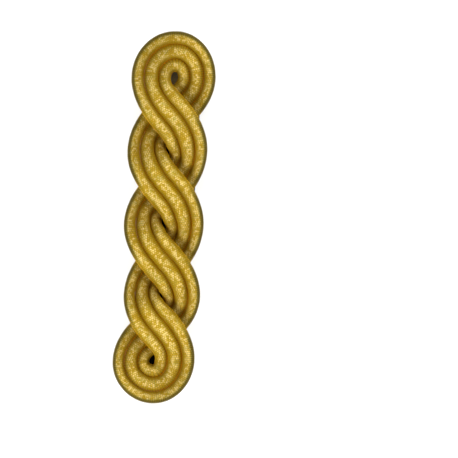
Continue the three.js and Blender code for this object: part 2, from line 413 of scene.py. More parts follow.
def finishLeather(tree, shader, look, colour, height, roughness):
    bumped(tree, shader, height, look["bumpDepth"])
    values = {"Base Color": colour, "Roughness": roughness, "Specular IOR Level": look["gloss"]}
    feedShader(tree, shader, values)


def plainLeather(name, look):
    material, tree, shader = newMaterial(name)
    _, _, colour, height, roughness = leatherBase(tree, look, look["plainRub"])
    finishLeather(tree, shader, look, colour, height, roughness)
    return material


# A pale line just inside each edge, broken in places: a crease line on the strap, and a painted highlight
# along the keeper's rounded edges.
def edgeLine(tree, look, marks, colour, place, away, half):
    lineAt = half - marks["edgeLineInset"]
    line = patch(tree, [away], [lineAt], [marks["edgeLineWidth"]], marks["edgeLineSoft"])
    breaks = noisy(tree, place, marks["edgeLineBreakScale"], marks["edgeLineBreakDetail"])
    line = times(tree, line, ranged(tree, breaks, *marks["edgeLineBreaks"]))
    return tinted(tree, colour, look["pale"], line, marks["edgeLineMost"])


strapMarks = {
    "rub": 0.25,
    "edgeLineInset": 0.75,
    "edgeLineWidth": 0.18,
    "edgeLineSoft": 0.25,
    "edgeLineBreakScale": 0.35,
    "edgeLineBreakDetail": 3.0,
    "edgeLineBreaks": (0.35, 0.65),
    "edgeLineMost": 0.45,
    "tickPlace": (3.7, 42.7),
    "tickSize": (0.16, 1.0),
    "tickSoft": 0.12,
    "scratchPlaces": ((-0.4, -45.5), (0.6, -45.8)),
    "scratchSize": (0.10, 3.6),
    "scratchSoft": 0.15,
    "scratchFaintness": 0.4,
    "scratchMost": 0.65,
    # the stretch above the fold: rubbed wear and a painted reflection
    "wornSheenMiddle": -57.0,
    "wornSheenHalf": 3.0,
    "wornSheenInset": 2.4,
    "wornSheenSoft": 1.8,
    "wornSheenCurve": 0.045,  # how much lower the rubbed and painted-reflection zone lies at the middle, for each mm2
    "wornSheenPatches": (0.25, 0.75, 0.45, 1.0),
    "wornSheenMost": 0.75,
    "wornSheenSmoothness": 0.12,
    "creaseEvery": 1.15,
    "creaseWander": 2.2,
    "creaseWanderScale": 0.5,
    "creaseRange": (0.55, 1.0),
    "creaseHeight": 0.9,
    "creaseMost": 0.5,
    "darkEnd": -60.2,
    "darkEndSoft": 0.5,
    "darkEndMost": 0.7,
    "crackPlace": -61.45,
    "crackHalf": 0.35,
    "crackSoft": 0.3,
    "crackStretch": (0.5, 1.6, 1.6),
    "crackBreakScale": 0.9,
    "crackBreaks": (0.48, 0.56),
}


def strapLeather(look, marks, middle, halfWidth):
    material, tree, shader = newMaterial("strapLeather")
    place, fine, colour, height, roughness = leatherBase(tree, look, marks["rub"])
    x, y, _ = separated(tree, place)
    off = minus(tree, x, middle)
    away = maths(tree, "ABSOLUTE", off)
    colour = edgeLine(tree, look, marks, colour, place, away, halfWidth)

    # scratches
    places = [x, y]
    scratch = patch(tree, places, marks["tickPlace"], marks["tickSize"], marks["tickSoft"])
    for centre in marks["scratchPlaces"]:
        faint = patch(tree, places, centre, marks["scratchSize"], marks["scratchSoft"])
        scratch = maths(tree, "MAXIMUM", scratch, times(tree, faint, marks["scratchFaintness"]))
    colour = tinted(tree, colour, look["pale"], scratch, marks["scratchMost"])

    # the stretch above the fold is paler and smoother: rubbed wear, and a painted reflection where the strap
    # curves down to the fold, with its curved creases
    curved = minus(tree, y, times(tree, times(tree, off, off), marks["wornSheenCurve"]))
    wornSheenSize = [marks["wornSheenHalf"], halfWidth - marks["wornSheenInset"]]
    wornAndSheen = patch(tree, [curved, away], [marks["wornSheenMiddle"], 0.0], wornSheenSize, marks["wornSheenSoft"])
    wornAndSheen = times(tree, wornAndSheen, ranged(tree, fine, *marks["wornSheenPatches"]))
    colour = tinted(tree, colour, look["rubbed"], wornAndSheen, marks["wornSheenMost"])
    wandering = times(tree, noisy(tree, place, marks["creaseWanderScale"]), marks["creaseWander"])
    creaseTurn = times(tree, plus(tree, curved, wandering), 2 * math.pi / marks["creaseEvery"])
    crease = times(tree, ranged(tree, maths(tree, "SINE", creaseTurn), *marks["creaseRange"]), wornAndSheen)
    height = minus(tree, height, times(tree, crease, marks["creaseHeight"]))
    colour = tinted(tree, colour, look["pale"], crease, marks["creaseMost"])
    roughness = minus(tree, roughness, times(tree, wornAndSheen, marks["wornSheenSmoothness"]))

    # the dark end of the fold, with a cracked line
    end = ranged(tree, y, marks["darkEnd"] - marks["darkEndSoft"], marks["darkEnd"], 1.0, 0.0)
    colour = tinted(tree, colour, look["deep"], end, marks["darkEndMost"])
    breaks = noisy(tree, objectPlace(tree, marks["crackStretch"]), marks["crackBreakScale"])
    breaks = ranged(tree, breaks, *marks["crackBreaks"])
    crack = patch(tree, [y], [marks["crackPlace"]], [marks["crackHalf"]], marks["crackSoft"])
    crack = times(tree, crack, breaks)
    colour = mixed(tree, crack, colour, look["crack"])
    height = plus(tree, height, crack)
    finishLeather(tree, shader, look, colour, height, roughness)
    return material


keeperMarks = {
    "rub": 0.9,
    "fleckStretch": (0.35, 1.8, 1),
    "fleckScale": 1.3,
    "fleckRange": (0.44, 0.62),
    "fleckMost": 0.55,
    # the keeper's edge line is a painted highlight along its rounded rims
    "edgeLineInset": 0.35,
    "edgeLineWidth": 0.22,
    "edgeLineSoft": 0.3,
    "edgeLineBreakScale": 0.3,
    "edgeLineBreakDetail": 2.0,
    "edgeLineBreaks": (0.35, 0.6),
    "edgeLineMost": 0.6,
    "scuffPlace": (0.1, 5.9),
    "scuffSize": 1.5,
    "scuffCore": 0.2,  # the share of its size that is palest
    "scuffArms": 5.0,
    "scuffArmReach": 0.35,
    "scuffPatches": (0.35, 0.6),
    "scuffMost": 0.85,
    "scuffDepth": 0.5,
    "dullness": 0.08,
}


def keeperLeather(look, marks, middle, halfLength):
    material, tree, shader = newMaterial("keeperLeather")
    place, fine, colour, height, roughness = leatherBase(tree, look, marks["rub"])
    x, y, _ = separated(tree, place)

    # rubbed flecks that run across
    stretched = objectPlace(tree, marks["fleckStretch"])
    flecks = noisy(tree, stretched, marks["fleckScale"], detail=3.0, roughness=0.65)
    flecks = ranged(tree, flecks, *marks["fleckRange"])
    colour = tinted(tree, colour, look["rubbed"], flecks, marks["fleckMost"])
    # a painted highlight just inside the rounded top and bottom edges
    away = maths(tree, "ABSOLUTE", minus(tree, y, middle))
    colour = edgeLine(tree, look, marks, colour, place, away, halfLength)

    # a scuff like a small star at the edge
    offX = minus(tree, x, marks["scuffPlace"][0])
    offY = minus(tree, y, marks["scuffPlace"][1])
    away = maths(tree, "SQRT", plus(tree, times(tree, offX, offX), times(tree, offY, offY)))
    arms = times(tree, maths(tree, "ARCTAN2", offY, offX), marks["scuffArms"])
    arms = times(tree, maths(tree, "COSINE", arms), marks["scuffArmReach"])
    size = marks["scuffSize"]
    scuff = ranged(tree, minus(tree, away, arms), size * marks["scuffCore"], size, 1.0, 0.0)
    scuff = times(tree, scuff, ranged(tree, fine, *marks["scuffPatches"]))
    colour = tinted(tree, colour, look["pale"], scuff, marks["scuffMost"])
    height = minus(tree, height, times(tree, scuff, marks["scuffDepth"]))
    roughness = plus(tree, roughness, marks["dullness"])
    finishLeather(tree, shader, look, colour, height, roughness)
    return material


eyeletLook = {
    "bright": (0.82, 0.72, 0.42, 1),
    "tarnish": (0.46, 0.34, 0.14, 1),
    "tarnishScale": 0.9,
    "tarnishRange": (0.5, 0.75),
    "tarnishMost": 0.6,
    "scratchStretch": (1, 0.2, 1),
    "scratchScale": 7.0,
    "scratchRange": (0.3, 0.7),
    "scratchDepth": 0.006,
    "roughness": (0.18, 0.34),
}


def eyeletBrass(look):
    material, tree, shader = newMaterial("eyeletBrass")
    cloud = noisy(tree, objectPlace(tree), look["tarnishScale"], detail=4.0, roughness=0.65)
    tarnished = ranged(tree, cloud, *look["tarnishRange"])
    colour = tinted(tree, look["bright"], look["tarnish"], tarnished, look["tarnishMost"])
    scratch = noisy(tree, objectPlace(tree, look["scratchStretch"]), look["scratchScale"])
    roughness = ranged(tree, scratch, *look["scratchRange"], *look["roughness"])
    feedShader(tree, shader, {"Base Color": colour, "Roughness": roughness, "Metallic": 1.0})
    bumped(tree, shader, scratch, look["scratchDepth"])
    return material


# Helpers for the meshes

def pieceFrom(bm, name, material, slot, *nodes):
    for face in bm.faces:
        face.smooth = True
    mesh = bpy.data.meshes.new(name)
    bm.to_mesh(mesh)
    bm.free()
    mesh.materials.append(material)
    piece = placed(name, mesh)
    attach(piece, "root")
    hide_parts(*nodes)
    print(name, "made with", len(mesh.polygons), "faces")
    return piece


# The cords. Millimetres, as in the part's source.

knotShape = {
    "length": 140.0,
    "sideCordWidth": 4.42,
    "middleCordWidth": 4.92,
    "cordHeight": 4.8,
    "cordGap": 0.4,
    "lobeGap": 0.35,
    "overGap": 0.85,
    "seatGap": 0.36,
    "crossingSpread": 1.11,
    "insideLean": 20,
    "middleLean": 5,
    "insideSqueeze": 0.95,
    "insideShift": 0.22,
    "stretchSteps": 60,
}

knotShape["pitch"] = (knotShape["sideCordWidth"] + knotShape["middleCordWidth"]) / 2 + knotShape["cordGap"]
knotShape["strandReach"] = knotShape["pitch"] + knotShape["sideCordWidth"] / 2
knotShape["lobeReach"] = knotShape["strandReach"] + knotShape["lobeGap"] / 2
knotShape["endReach"] = knotShape["length"] / 2 - knotShape["strandReach"]
knotShape["levelStep"] = knotShape["cordHeight"] / knotShape["crossingSpread"] + knotShape["overGap"]
knotShape["floor"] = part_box("leather_backing")[1].z / millimetre + knotShape["seatGap"]

atCrossing = knotShape["crossingSpread"]  # the cords spread and flatten where the strand crosses itself

# side, along, heading, level, rise, spread and inside, as in the part's source
strandRoute = [
    (0.1, 0.992, 180, 0.25, 0.12, 1.05, 0),
    (-1.09, 0.835, 270, 0.6, 0.3, 1.01, 0),
    (-0.04, 0.617, 314, 1, 0, atCrossing, 0),
    (1.0, 0.402, 270, 0.5, -0.65, 0.98, 1),
    (0.0, 0.176, 226, 0, 0, atCrossing, 0),
    (-1.06, -0.048, 270, 0.5, 0.65, 0.97, -1),
    (0.07, -0.263, 314, 1, 0, atCrossing, 0),
    (1.1, -0.467, 270, 0.5, -0.65, 0.96, 1),
    (0.04, -0.652, 222, 0, 0, atCrossing, 0),
    (-1.24, -0.868, 270, 0.03, 0.05, 0.94, 0),
    (-0.1, -0.998, 360, 0.25, 0.12, 1.0, 0),
    (0.96, -0.846, 450, 0.6, 0.3, 1.02, 0),
    (0.04, -0.652, 494, 1, 0, atCrossing, 0),
    (-0.9, -0.472, 450, 0.5, -0.65, 0.92, 1),
    (0.07, -0.263, 406, 0, 0, atCrossing, 0),
    (1.05, -0.04, 450, 0.5, 0.65, 0.97, -1),
    (0.0, 0.176, 494, 1, 0, atCrossing, 0),
    (-1.08, 0.39, 450, 0.5, -0.65, 1.0, 1),
    (-0.04, 0.617, 403, 0, 0, atCrossing, 0),
    (1.2, 0.84, 450, 0.03, 0.05, 0.97, 0),
]

cords = [
    {"name": "outerCord", "node": "outer_cord", "lane": 1, "width": knotShape["sideCordWidth"]},
    {"name": "middleCord", "node": "middle_cord", "lane": 0, "width": knotShape["middleCordWidth"]},
    {"name": "innerCord", "node": "inner_cord", "lane": -1, "width": knotShape["sideCordWidth"]},
]


def stationOf(row, lane):
    side, along, strandHeading, level, rise, spread, inside = row
    isInner = inside != 0 and lane == inside
    heading = strandHeading
    if inside != 0 and lane != -inside:
        heading += knotShape["middleLean"] if lane == 0 else knotShape["insideLean"]
    strandAngle = math.radians(strandHeading)
    shift = lane * (knotShape["pitch"] * spread + (knotShape["insideShift"] if isInner else 0))
    place = np.array((
        side * knotShape["lobeReach"] + math.sin(strandAngle) * shift,
        along * knotShape["endReach"] - math.cos(strandAngle) * shift,
        knotShape["floor"] + knotShape["cordHeight"] / spread / 2 + level * knotShape["levelStep"],
    ))
    angle = math.radians(heading)
    return {
        "place": place,
        "travel": np.array((math.cos(angle), math.sin(angle), 0)),
        "heading": heading,
        "spread": spread * knotShape["insideSqueeze"] if isInner else spread,
        "rise": rise * knotShape["levelStep"],
    }


# The control points of one stretch between two stations, as round as its turn asks.
def stretchBetween(start, end):
    chord = math.hypot(*(end["place"] - start["place"])[:2])
    turn = abs(math.radians((end["heading"] - start["heading"] + 180) % 360 - 180))
    handle = chord * (2 / 3) * math.tan(turn / 4) / math.sin(turn / 2)
    leaving = start["place"] + start["travel"] * handle + np.array((0, 0, start["rise"]))
    arriving = end["place"] - end["travel"] * handle - np.array((0, 0, end["rise"]))
    return start["place"], leaving, arriving, end["place"]


def bezier(a, b, c, d, share):
    back = 1 - share
    return a * back**3 + b * 3 * back**2 * share + c * 3 * back * share**2 + d * share**3


# Points, directions and spreads along the whole closed route, close together.
def walkedRoute(lane):
    stations = [stationOf(row, lane) for row in strandRoute]
    share = (np.arange(knotShape["stretchSteps"]) / knotShape["stretchSteps"])[:, None]
    back = 1 - share
    points, travels, spreads = [], [], []
    for index, start in enumerate(stations):
        end = stations[(index + 1) % len(stations)]
        a, b, c, d = stretchBetween(start, end)
        points.append(bezier(a, b, c, d, share))
        travels.append((b - a) * back**2 + (c - b) * 2 * back * share + (d - c) * share**2)
        smooth = share * share * (3 - 2 * share)
        spreads.append(start["spread"] + (end["spread"] - start["spread"]) * smooth[:, 0])
    points.append(points[0][:1])
    travels.append(travels[0][:1])
    spreads.append(spreads[0][:1])
    return np.concatenate(points), np.concatenate(travels), np.concatenate(spreads)


def walkedLengths(points):
    return np.concatenate([[0], np.cumsum(np.linalg.norm(np.diff(points, axis=0), axis=1))])


def lengthOf(points):
    return np.linalg.norm(np.diff(points, axis=0), axis=1).sum()


def alongEvenly(points, travels, spreads, count):
    walked = walkedLengths(points)
    stops = np.linspace(0, walked[-1], count + 1)
    centre = np.stack([np.interp(stops, walked, points[:, axis]) for axis in range(3)], axis=1)
    unit = travels / np.linalg.norm(travels, axis=1)[:, None]
    travel = np.stack([np.interp(stops, walked, unit[:, axis]) for axis in range(3)], axis=1)
    travel /= np.linalg.norm(travel, axis=1)[:, None]
    return centre, travel, np.interp(stops, walked, spreads)


windShape = {
    "threadPitch": 0.75,
    "ringsPerThread": 6,
    "sides": 24,
    "threadDepth": 0.12,
    "flankDepth": 1.25,  # as a share of the thread's depth
    "crownSmoothing": 0.5,  # how much less of that depth the crown has
    "swell": 0.02,
    "unevenness": 0.015,
    "squareness": 2.2,  # of the lower half: 2 is an oval, and a cord that is sewn down is squarer
    "seed": 7,
    "clearance": 0.006,  # what stays open between two cords that are pressed together
    "mostWidening": 0.50,
    "ownReach": 12,  # how far along the same cord a place has to be before it counts as a neighbour
    "roomGone": 1.5,  # no widening where the neighbour is this far away, and all of it nearer by roomFade
    "roomFade": 0.5,
    "heightGone": 2.4,
    "heightFade": 1.2,
    "crossingGone": 0.2,  # as the cosine of the angle between the two cords
    "crossingFade": 0.4,
    "passSteps": 1800,
    "pressSharpness": 20,
    "lowestRings": 2,
    "evenedRings": 1,
    "flatFrom": 0.6,
    "flatSharpness": 4,
    "openAhead": 2.5,
    "openBeyond": 1,
    "openOwnReach": 3,
    "openFadeThreads": 4,
    "openSharpness": 2.5,
}

ringsAtOnce = 200  # so that the arrays stay small


# Every cord's places at even steps, with its half width there and how far along its cord each place is.
def allPasses(routes, count):
    found = {"place": [], "travel": [], "half": [], "lane": [], "walked": []}
    for cord in cords:
        points, travels, spreads = routes[cord["lane"]]
        places, headings, shares = alongEvenly(points, travels, spreads, count)
        found["place"].append(places)
        found["travel"].append(headings)
        found["half"].append(shares * cord["width"] / 2)
        found["lane"].append(np.full(count + 1, cord["lane"]))
        found["walked"].append(np.linspace(0, lengthOf(points), count + 1))
    return {name: np.concatenate(parts) for name, parts in found.items()}


# How far each side of a cord can widen before it meets the nearest cord beside it, which may be another
# stretch of the same cord. It fades out where that one is far away, lies higher or lower, or crosses.
def widenings(centre, travel, across, halfWidth, own, walked, passes, wind):
    found = np.zeros((2, len(centre)))
    for start in range(0, len(centre), ringsAtOnce):
        part = slice(start, start + ringsAtOnce)
        between = np.abs(passes["walked"][None] - walked[part, None])
        between = np.minimum(between, walked[-1] - between)
        isItself = (passes["lane"][None] == own) & (between < wind["ownReach"])
        for side, sign in enumerate((1, -1)):
            flank = centre[part] + across[part] * (halfWidth[part] * sign)[:, None]
            away = passes["place"][None] - flank[:, None]
            nearest = np.where(isItself, np.inf, (away**2).sum(axis=2)).argmin(axis=1)
            away = away[np.arange(len(nearest)), nearest]
            room = np.hypot(away[:, 0], away[:, 1]) - passes["half"][nearest]
            widening = np.clip(room / 2 - wind["clearance"], 0, wind["mostWidening"])
            beside = np.clip((wind["roomGone"] - room) / wind["roomFade"], 0, 1)
            level = np.clip((wind["heightGone"] - np.abs(away[:, 2])) / wind["heightFade"], 0, 1)
            alike = np.abs((travel[part] * passes["travel"][nearest]).sum(axis=1))
            alike = np.clip((alike - wind["crossingGone"]) / wind["crossingFade"], 0, 1)
            found[side, part] = widening * (beside * level) * alike
    lowest = [lowestNearby(side, wind["lowestRings"]) for side in found]
    return np.stack([evened(side, wind["evenedRings"]) for side in lowest])


# Whether each side of a cord's rings is on the outside of the knot: 1 where no cord lies beyond it.
def openSides(centre, travel, across, own, routes, wind):
    allPoints = np.concatenate([routes[other["lane"]][0] for other in cords])
    allCords = np.concatenate([np.full(len(routes[other["lane"]][0]), other["lane"]) for other in cords])
    isOpen = np.ones((2, len(centre)))
    for start in range(0, len(centre), ringsAtOnce):
        part = slice(start, start + ringsAtOnce)
        away = allPoints[None] - centre[part, None]
        ahead = np.abs(np.einsum("rpk,rk->rp", away, travel[part]))
        sideways = np.einsum("rpk,rk->rp", away, across[part])
        isItself = (allCords[None] == own) & (np.abs(sideways) < wind["openOwnReach"])
        isNear = (ahead < wind["openAhead"]) & ~isItself
        for side, sign in enumerate((1, -1)):
            isOpen[side, part] = ~(isNear & (sideways * sign > wind["openBeyond"])).any(axis=1)
    return np.stack([evened(side, wind["ringsPerThread"] * wind["openFadeThreads"]) for side in isOpen])


# Evens a value out along the closed cord.
def evened(values, reach):
    return np.mean([np.roll(values, step) for step in range(-reach, reach + 1)], axis=0)


def lowestNearby(values, reach):
    return np.min([np.roll(values, step) for step in range(-reach, reach + 1)], axis=0)


# How far the wound threads stand out or in, in millimetres, pressed smooth where a neighbour lies close.
def threadRelief(cord, wind, threads, threadCount, roundShare, angle, widening):
    crest = np.sqrt(np.clip(1 - (2 * (threadCount % 1) - 1) ** 2, 0, 1))
    uneven = np.random.default_rng(wind["seed"] + cord["lane"]).normal(0, wind["unevenness"], threads)
    pressed = np.clip(widening / wind["mostWidening"] * wind["pressSharpness"], 0, 1)
    pressed = pressed * np.clip((np.abs(np.cos(angle)) - wind["flatFrom"]) * wind["flatSharpness"], 0, 1)
    carved = wind["flankDepth"] - wind["crownSmoothing"] * np.clip(np.sin(angle), 0, 1)
    carved = wind["threadDepth"] * carved * (1 - pressed)
    thread = np.floor(threadCount).astype(int)
    lift = uneven[thread % threads] * (1 - roundShare) + uneven[(thread - 1) % threads] * roundShare
    return wind["swell"] * (1 - pressed) - carved * (1 - crest) + lift * crest * (1 - pressed)


# A cord's surface round its route, as rows that go round it and columns along it, like Blender's grid.
def cordPlaces(centre, across, upward, halfWidth, halfHeight, angle, raised, squareness):
    power = np.where(np.sin(angle) < 0, squareness, 2)
    fullness = (np.abs(np.cos(angle)) ** power + np.abs(np.sin(angle)) ** power) ** (-1 / power)
    outX = np.cos(angle) * halfHeight
    outZ = np.sin(angle) * halfWidth
    size = np.hypot(outX, outZ)
    reachX = np.cos(angle) * fullness * halfWidth + raised * outX / size
    reachZ = np.sin(angle) * fullness * halfHeight + raised * outZ / size
    places = centre[None] + across[None] * reachX[..., None] + upward[None] * reachZ[..., None]
    places[-1] = places[0]
    places[:, -1] = places[:, 0]
    return places


# One cord: a grid wrapped round the route, with a raised ridge for each thread wound round it.
# A real cord gives way until it touches the next one, so each side widens into the gap there.
def woundCord(cord, wind, routes, passes, material):
    points, travels, spreads = routes[cord["lane"]]
    length = lengthOf(points)
    threads = round(length / wind["threadPitch"])
    rings = threads * wind["ringsPerThread"]
    sides = wind["sides"]
    centre, travel, spread = alongEvenly(points, travels, spreads, rings)
    across = np.stack([-travel[:, 1], travel[:, 0], np.zeros(rings + 1)], axis=1)
    across /= np.linalg.norm(across, axis=1)[:, None]
    upward = np.cross(travel, across)
    halfWidth = cord["width"] * spread / 2
    halfHeight = knotShape["cordHeight"] / spread / 2
    walked = np.linspace(0, length, rings + 1)
    widening = widenings(centre, travel, across, halfWidth, cord["lane"], walked, passes, wind)
    isOpen = openSides(centre, travel, across, cord["lane"], routes, wind)

    roundShare = np.linspace(0, 1, sides + 1)[:, None]
    angle = roundShare * 2 * math.pi - math.pi / 2
    isLeft = np.cos(angle) > 0
    widening = np.where(isLeft, widening[0], widening[1])
    threadCount = np.linspace(0, threads, rings + 1)[None, :] + roundShare
    raised = threadRelief(cord, wind, threads, threadCount, roundShare, angle, widening)
    wider = halfWidth + widening
    places = cordPlaces(centre, across, upward, wider, halfHeight, angle, raised, wind["squareness"])
    onFlank = np.clip(np.abs(np.cos(angle)) * wind["openSharpness"], 0, 1)
    openness = np.where(isLeft, isOpen[0], isOpen[1]) * onFlank

    bm = bmesh.new()
    windMap = bm.loops.layers.uv.new("windMap")
    openSide = bm.verts.layers.float.new("openSide")
    bmesh.ops.create_grid(bm, x_segments=rings, y_segments=sides, size=0.5, calc_uvs=True)
    for vert, place, share in zip(bm.verts, places.reshape(-1, 3) * millimetre, openness.ravel()):
        vert.co = place
        vert[openSide] = share
    for face in bm.faces:
        for loop in face.loops:
            share = loop[windMap].uv
            loop[windMap].uv = (share.x * threads + share.y, share.y)
    bmesh.ops.remove_doubles(bm, verts=bm.verts, dist=1e-7)
    bmesh.ops.recalc_face_normals(bm, faces=bm.faces)
    return pieceFrom(bm, cord["name"], material, "gold_cord", cord["node"])


cordRoutes = {cord["lane"]: walkedRoute(cord["lane"]) for cord in cords}
cordPasses = allPasses(cordRoutes, windShape["passSteps"])
print("cord routes laid out")
goldMaterial = giltThread(giltThreadLook)
for cord in cords:
    woundCord(cord, windShape, cordRoutes, cordPasses, goldMaterial)


# The leather sheets. Each starts as a grid that is shaped, thickened and rounded at its rim.

leatherShape = {
    "middle": 0.8,
    "strapWidth": 18.2,
    "backingWidth": 20.0,
    "thickness": 1.6,
    "topRise": 3.2,
    "topRiseReach": 24.0,
    "backingCorner": 3.0,
    "cell": 0.6,
    "rimRound": 0.32,
    "rimSteps": 3,
    "sharpFrom": 50,  # degrees between two faces at an edge that is rounded
    "waviness": 0.05,
    "waveScale": 0.09,
    "waveSeed": 3.0,
}

eyeletShape = {
    "bore": 5.9,
    "flange": 9.9,
    "barrelWall": 0.6,
    "flangeHeight": 0.6,
    "washerHeight": 0.35,
    "washerWidth": 0.9,
    "strapHole": 7.4,
    "backingHole": 7.2,
    "holeRimReach": 1.4,  # as a share of the hole's radius: the open edges this near move onto its circle
    "rollSteps": 12,
    "underRoll": 0.15,
    "lipSteps": 6,
    "steps": 72,
}


# The place is asked for as a share across the sheet, from -1 to 1, and a share along it, from 0 to 1.
def shapedSheet(width, length, cell, placeOf):
    columns, rows = round(width / cell), round(length / cell)
    bm = bmesh.new()
    bmesh.ops.create_grid(bm, x_segments=columns, y_segments=rows, size=0.5)
    for vert in bm.verts:
        vert.co = Vector(placeOf(vert.co.x * 2, vert.co.y + 0.5)) * millimetre
    return bm


# Opens a round hole: the faces inside go, and the vertices at its edge move onto the circle.
def punchHole(bm, centre, diameter):
    middle = Vector((centre[0], centre[1], 0)) * millimetre
    radius = diameter / 2 * millimetre

    def awayFrom(place):
        return (place - middle).to_2d()

    inside = [face for face in bm.faces if awayFrom(face.calc_center_median()).length < radius]
    bmesh.ops.delete(bm, geom=inside, context="FACES")
    for vert in bm.verts:
        offset = awayFrom(vert.co)
        if vert.is_boundary and offset.length < radius * eyeletShape["holeRimReach"]:
            moved = offset.normalized() * radius
            vert.co.x = middle.x + moved.x
            vert.co.y = middle.y + moved.y


def thickened(bm, outward, thickness, rimRound):
    bm.normal_update()
    facing = sum((face.normal * face.calc_area() for face in bm.faces), Vector())
    if facing.dot(outward) < 0:
        bmesh.ops.reverse_faces(bm, faces=bm.faces)
    bmesh.ops.solidify(bm, geom=bm.faces[:], thickness=thickness * millimetre)
    bmesh.ops.recalc_face_normals(bm, faces=bm.faces)
    sharpFrom = math.radians(leatherShape["sharpFrom"])
    sharp = [edge for edge in bm.edges if edge.calc_face_angle(0) > sharpFrom]
    bmesh.ops.bevel(
        bm, geom=sharp, offset=rimRound * millimetre, offset_type="OFFSET",
        segments=leatherShape["rimSteps"], profile=0.5, affect="EDGES", material=-1, clamp_overlap=True,
    )
    return bm


# How far the arched top edge lowers a place on a sheet, less and less away from the top.
def topDrop(offset, width, fromTop):
    half = width / 2
    rise = leatherShape["topRise"]
    radius = (half * half + rise * rise) / (2 * rise)
    drop = radius - math.sqrt(radius * radius - offset * offset)
    return drop * max(0, 1 - fromTop / leatherShape["topRiseReach"]) ** 2


def wave(x, y):
    scale = leatherShape["waveScale"]
    return noise.noise(Vector((x * scale, y * scale, leatherShape["waveSeed"]))) * leatherShape["waviness"]


strapBox = [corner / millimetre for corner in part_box("leather_strap")]
backingBox = [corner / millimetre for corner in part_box("leather_backing")]
keeperBox = [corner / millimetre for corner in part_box("strap_keeper")]
eyeletBox = [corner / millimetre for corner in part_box("strap_eyelet")]
eyeletCentre = (eyeletBox[0] + eyeletBox[1]) / 2


def backingSheet():
    shape = leatherShape
    top, bottom = backingBox[1].y, backingBox[0].y
    half = shape["backingWidth"] / 2
    corner = shape["backingCorner"]

    def placeOf(share, along):
        fromTop = along * (top - bottom)
        fromBottom = top - bottom - fromTop
        width = half
        if fromBottom < corner:
            width = half - corner + math.sqrt(corner**2 - (corner - fromBottom) ** 2)
        offset = share * width
        fromTop += topDrop(offset, shape["backingWidth"], fromTop)
        return shape["middle"] + offset, top - fromTop, backingBox[1].z

    bm = shapedSheet(shape["backingWidth"], top - bottom, shape["cell"], placeOf)
    punchHole(bm, eyeletCentre, eyeletShape["backingHole"])
    return thickened(bm, Vector((0, 0, 1)), shape["thickness"], shape["rimRound"])


backingMaterial = plainLeather("backingLeather", leatherLook)
pieceFrom(backingSheet(), "backingSheet", backingMaterial, "black_leather", "leather_backing")

# The strap's side view: flat at the eyelet and the keeper, slack between, folded up round the backing's end.

strapShape = {
    "eyeletSag": 0.5,
    "foldSag": 1.2,
    "eyeletFlatMargin": 10.2,
    "keeperFlatMargin": 4.0,
    "foldFlatLength": 12.0,
    "foldReach": 4.0,
    "foldHeight": 2.25,
    "foldRoundness": 0.55,
    "keeperGap": 0.25,
    "curveSteps": 40,
    "slopeReach": 0.2,
}

keeperShape = {
    "thickness": 1.0,
    "cornerRadius": 0.9,
    "cell": 0.45,
    "cornerSteps": 8,
    "rimRound": 0.25,
    "dent": 0.06,
    "dentScale": (0.16, 1.5),
    "dentSeed": 9.0,
    "dentHalf": 9.0,  # dents stop this far from the middle, before the corners
    "wander": 0.12,
    "wanderScale": 0.1,
    "wanderSeed": 5.0,
}


# The strap's middle line from the eyelet end to the top of the fold, as points of Y and Z.
def strapLine():
    shape = strapShape
    half = leatherShape["thickness"] / 2
    seat = keeperBox[0].z + keeperShape["thickness"] + shape["keeperGap"] + half
    eyeletLine = seat - shape["eyeletSag"]
    foldLine = seat - shape["foldSag"]
    flatEnd = eyeletCentre.y - shape["eyeletFlatMargin"]
    keeperTop = keeperBox[1].y + shape["keeperFlatMargin"]
    keeperBottom = keeperBox[0].y - shape["keeperFlatMargin"]
    foldEnd = strapBox[0].y + half
    foldStart = foldEnd + shape["foldReach"]
    slackStart = foldStart + shape["foldFlatLength"]
    upperRun = (flatEnd - keeperTop) / 2
    lowerRun = (keeperBottom - foldStart) / 2
    roundness = shape["foldRoundness"]
    foldTop = foldLine + shape["foldHeight"]
    share = np.linspace(0, 1, shape["curveSteps"] + 1)[:, None]

    def curve(*corners):
        return bezier(*np.array(corners), share)

    return np.concatenate([
        [(strapBox[1].y, eyeletLine)],
        curve(
            (flatEnd, eyeletLine), (flatEnd - upperRun, eyeletLine),
            (keeperTop + upperRun, seat), (keeperTop, seat),
        ),
        curve(
            (keeperBottom, seat), (keeperBottom - lowerRun, seat),
            (slackStart, foldLine), (foldStart, foldLine),
        ),
        curve(
            (foldStart, foldLine), (foldStart - shape["foldReach"] * roundness, foldLine),
            (foldEnd, foldLine + shape["foldHeight"] * (1 - roundness)), (foldEnd, foldTop),
        )[1:],
        [(foldEnd, strapBox[1].z)],
    ])


def strapSheet():
    shape = leatherShape
    points = strapLine()
    walked = walkedLengths(points)
    length = walked[-1]
    half = shape["thickness"] / 2

    def pointAt(place):
        return Vector([np.interp(place, walked, points[:, axis]) for axis in range(2)])

    def placeOf(share, along):
        offset = share * shape["strapWidth"] / 2
        place = along * length
        place += topDrop(offset, shape["strapWidth"], place)
        here = pointAt(place)
        after = pointAt(min(place + strapShape["slopeReach"], length))
        before = pointAt(max(place - strapShape["slopeReach"], 0))
        run = (after - before).normalized()
        outward = Vector((-run.y, run.x))  # the sheet runs towards -Y, so this points down
        outer = here + outward * (half + wave(offset, place))
        return shape["middle"] + offset, outer.x, outer.y

    bm = shapedSheet(shape["strapWidth"], length, shape["cell"], placeOf)
    punchHole(bm, eyeletCentre, eyeletShape["strapHole"])
    return thickened(bm, Vector((0, 0, -1)), shape["thickness"], shape["rimRound"])


